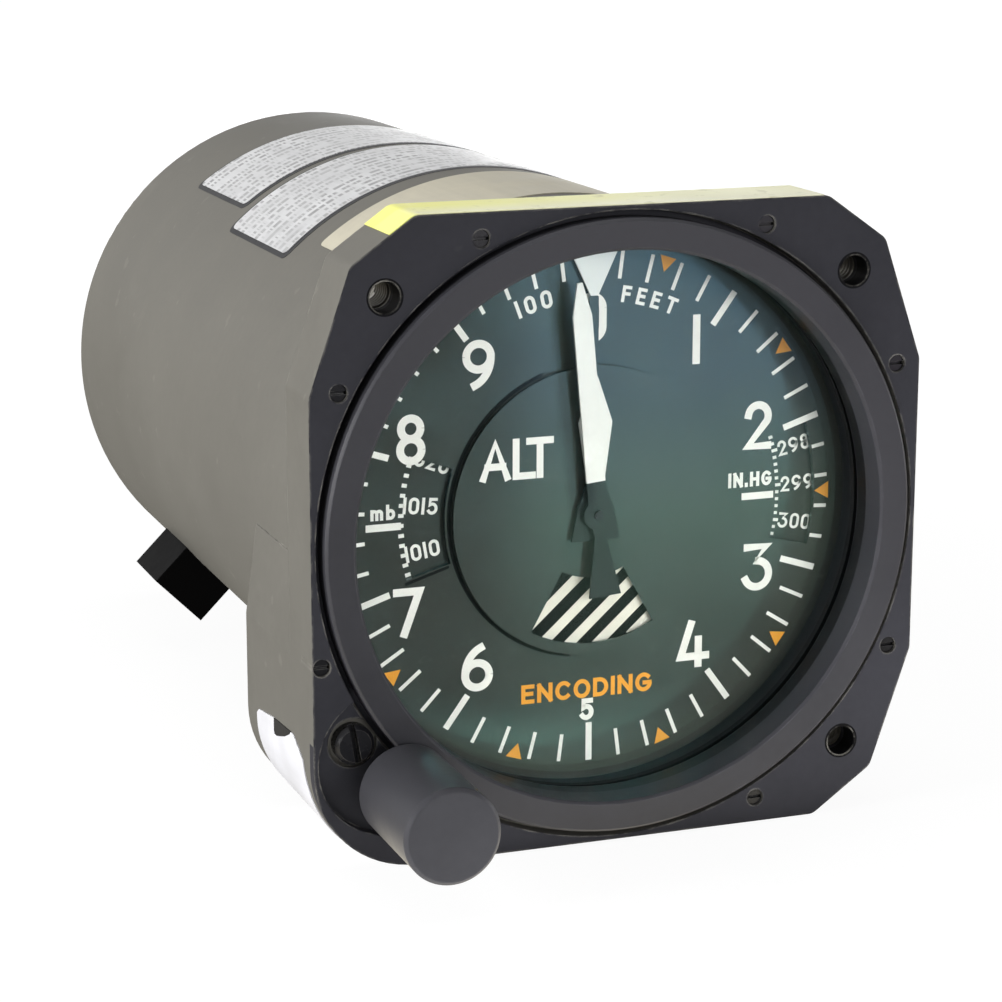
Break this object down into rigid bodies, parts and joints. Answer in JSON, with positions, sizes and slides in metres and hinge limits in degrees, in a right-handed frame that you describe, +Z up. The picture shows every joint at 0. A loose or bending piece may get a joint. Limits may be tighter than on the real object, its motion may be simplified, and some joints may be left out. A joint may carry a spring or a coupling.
{
  "type": "aircraft altimeter",
  "caption": "Round-cased panel altimeter with a square eared flange, three geared pointers, aneroid capsules, setting knob and an encoder.",
  "frame": {"origin": "on the pointer axis, in the plane of the flange's front face", "axes": "+X to the right seen from the front, +Y back into the case, +Z up"},
  "size_m": [0.0824, 0.1633, 0.0824],
  "materials": {
    "case_paint": "satin grey paint",
    "ring_paint": "flat black paint",
    "window_glass": "clear coated glass",
    "seal_rubber": "black rubber",
    "black_screw": "blackened steel",
    "brass_part": "turned brass",
    "steel_part": "ground steel",
    "knob_plastic": "matte moulded plastic",
    "dial_paint": "flat dial paint",
    "pointer_paint": "flat white paint",
    "capsule_metal": "rolled copper alloy",
    "frame_metal": "bent sheet",
    "code_metal": "etched disc",
    "board_green": "coated circuit board",
    "black_plastic": "moulded black plastic"
  },
  "bodies": {
    "housing": {"case": "case_paint", "bezel_ring": "ring_paint", "glass": "window_glass", "glass_gasket": "seal_rubber", "face_screws": "black_screw", "panel_inserts": "brass_part", "knob_bushing": "brass_part", "lock_screw": "black_screw", "dial_ring": "ring_paint", "dial": "dial_paint", "aneroid_capsules": "capsule_metal", "capsule_frame": "frame_metal", "front_plate": "brass_part", "rear_plate": "brass_part", "sector_plate": "brass_part", "pillars": "brass_part", "spacers": "brass_part", "pillar_screws": "steel_part", "plate_screws": "steel_part", "frame_screws": "steel_part", "encoder_reader": "black_plastic", "encoder_board": "board_green", "board_standoffs": "steel_part", "board_chips": "black_plastic", "encoder_connector": "black_plastic", "connector_cap": "black_plastic", "static_port": "steel_part"},
    "setting_knob": {"knob": "knob_plastic", "knob_shaft": "steel_part", "baro_pinion": "brass_part"},
    "scale_disc": {"baro_scale": "dial_paint"},
    "hundreds": {"pointer_100": "pointer_paint", "staff_100": "steel_part"},
    "thousands": {"pointer_1000": "pointer_paint", "sleeve_1000": "steel_part", "wheel_1000": "brass_part"},
    "ten_thousands": {"pointer_10000": "dial_paint", "sleeve_10000": "steel_part", "wheel_10000": "brass_part"},
    "idler_a": {"idler_a_arbor": "steel_part", "idler_a_wheel": "brass_part"},
    "idler_b": {"idler_b_arbor": "steel_part", "idler_b_wheel": "brass_part"},
    "intermediate": {"intermediate_wheel": "brass_part", "intermediate_arbor": "steel_part"},
    "rocker": {"sector": "brass_part", "rocking_shaft": "steel_part", "link_arm": "brass_part"},
    "push_rod": {"link_rod": "steel_part"},
    "encoder": {"encoder_arbor": "steel_part", "encoder_wheel": "brass_part", "encoder_disc": "code_metal"}
  },
  "joints": [
    {"name": "altitude_turn", "type": "hinge", "parent": "housing", "child": "hundreds", "pos_m": [0, 0, 0], "axis": [0, 1, 0], "range_deg": [-360, 7200]},
    {"name": "thousands_turn", "type": "hinge", "parent": "housing", "child": "thousands", "pos_m": [0, 0, 0], "axis": [0, 1, 0], "range_deg": [-36, 720]},
    {"name": "ten_thousands_turn", "type": "hinge", "parent": "housing", "child": "ten_thousands", "pos_m": [0, 0, 0], "axis": [0, 1, 0], "range_deg": [-3.6, 72]},
    {"name": "idler_a_turn", "type": "hinge", "parent": "housing", "child": "idler_a", "pos_m": [0.01039, 0, -0.006], "axis": [0, 1, 0], "range_deg": [-1440, 72]},
    {"name": "idler_b_turn", "type": "hinge", "parent": "housing", "child": "idler_b", "pos_m": [-0.0041, 0, -0.01128], "axis": [0, 1, 0], "range_deg": [-144, 7.2]},
    {"name": "intermediate_turn", "type": "hinge", "parent": "housing", "child": "intermediate", "pos_m": [-0.01736, 0, 0.00548], "axis": [0, 1, 0], "range_deg": [-600, 30]},
    {"name": "rocker_turn", "type": "hinge", "parent": "housing", "child": "rocker", "pos_m": [0.008, 0, 0.009], "axis": [0, 1, 0], "range_deg": [-2, 40]},
    {"name": "rod_slide", "type": "slide", "parent": "housing", "child": "push_rod", "axis": [0, 0, 1], "range_m": [-0.00027, 0.00547], "deforming": ["aneroid_capsules"]},
    {"name": "encoder_turn", "type": "hinge", "parent": "housing", "child": "encoder", "pos_m": [-0.02043, 0, -0.00298], "axis": [0, 1, 0], "range_deg": [-15, 300]},
    {"name": "knob_turn", "type": "hinge", "parent": "housing", "child": "setting_knob", "pos_m": [-0.02986, 0, -0.0306], "axis": [0, 1, 0], "range_deg": [-970, 576]},
    {"name": "scale_turn", "type": "hinge", "parent": "housing", "child": "scale_disc", "pos_m": [0, 0, 0], "axis": [0, 1, 0], "range_deg": [-108, 181.88]}
  ],
  "couplings": [
    {"joint": "altitude_turn", "follows": "rocker_turn", "ratio": 180},
    {"joint": "thousands_turn", "follows": "rocker_turn", "ratio": 18},
    {"joint": "ten_thousands_turn", "follows": "rocker_turn", "ratio": 1.8},
    {"joint": "idler_a_turn", "follows": "rocker_turn", "ratio": -36},
    {"joint": "idler_b_turn", "follows": "rocker_turn", "ratio": -3.6},
    {"joint": "intermediate_turn", "follows": "rocker_turn", "ratio": -15},
    {"joint": "encoder_turn", "follows": "rocker_turn", "ratio": 7.5},
    {"joint": "rod_slide", "follows": "rocker_turn", "m_per_rad": 0.00784},
    {"joint": "scale_turn", "follows": "knob_turn", "ratio": -0.1875}
  ]
}
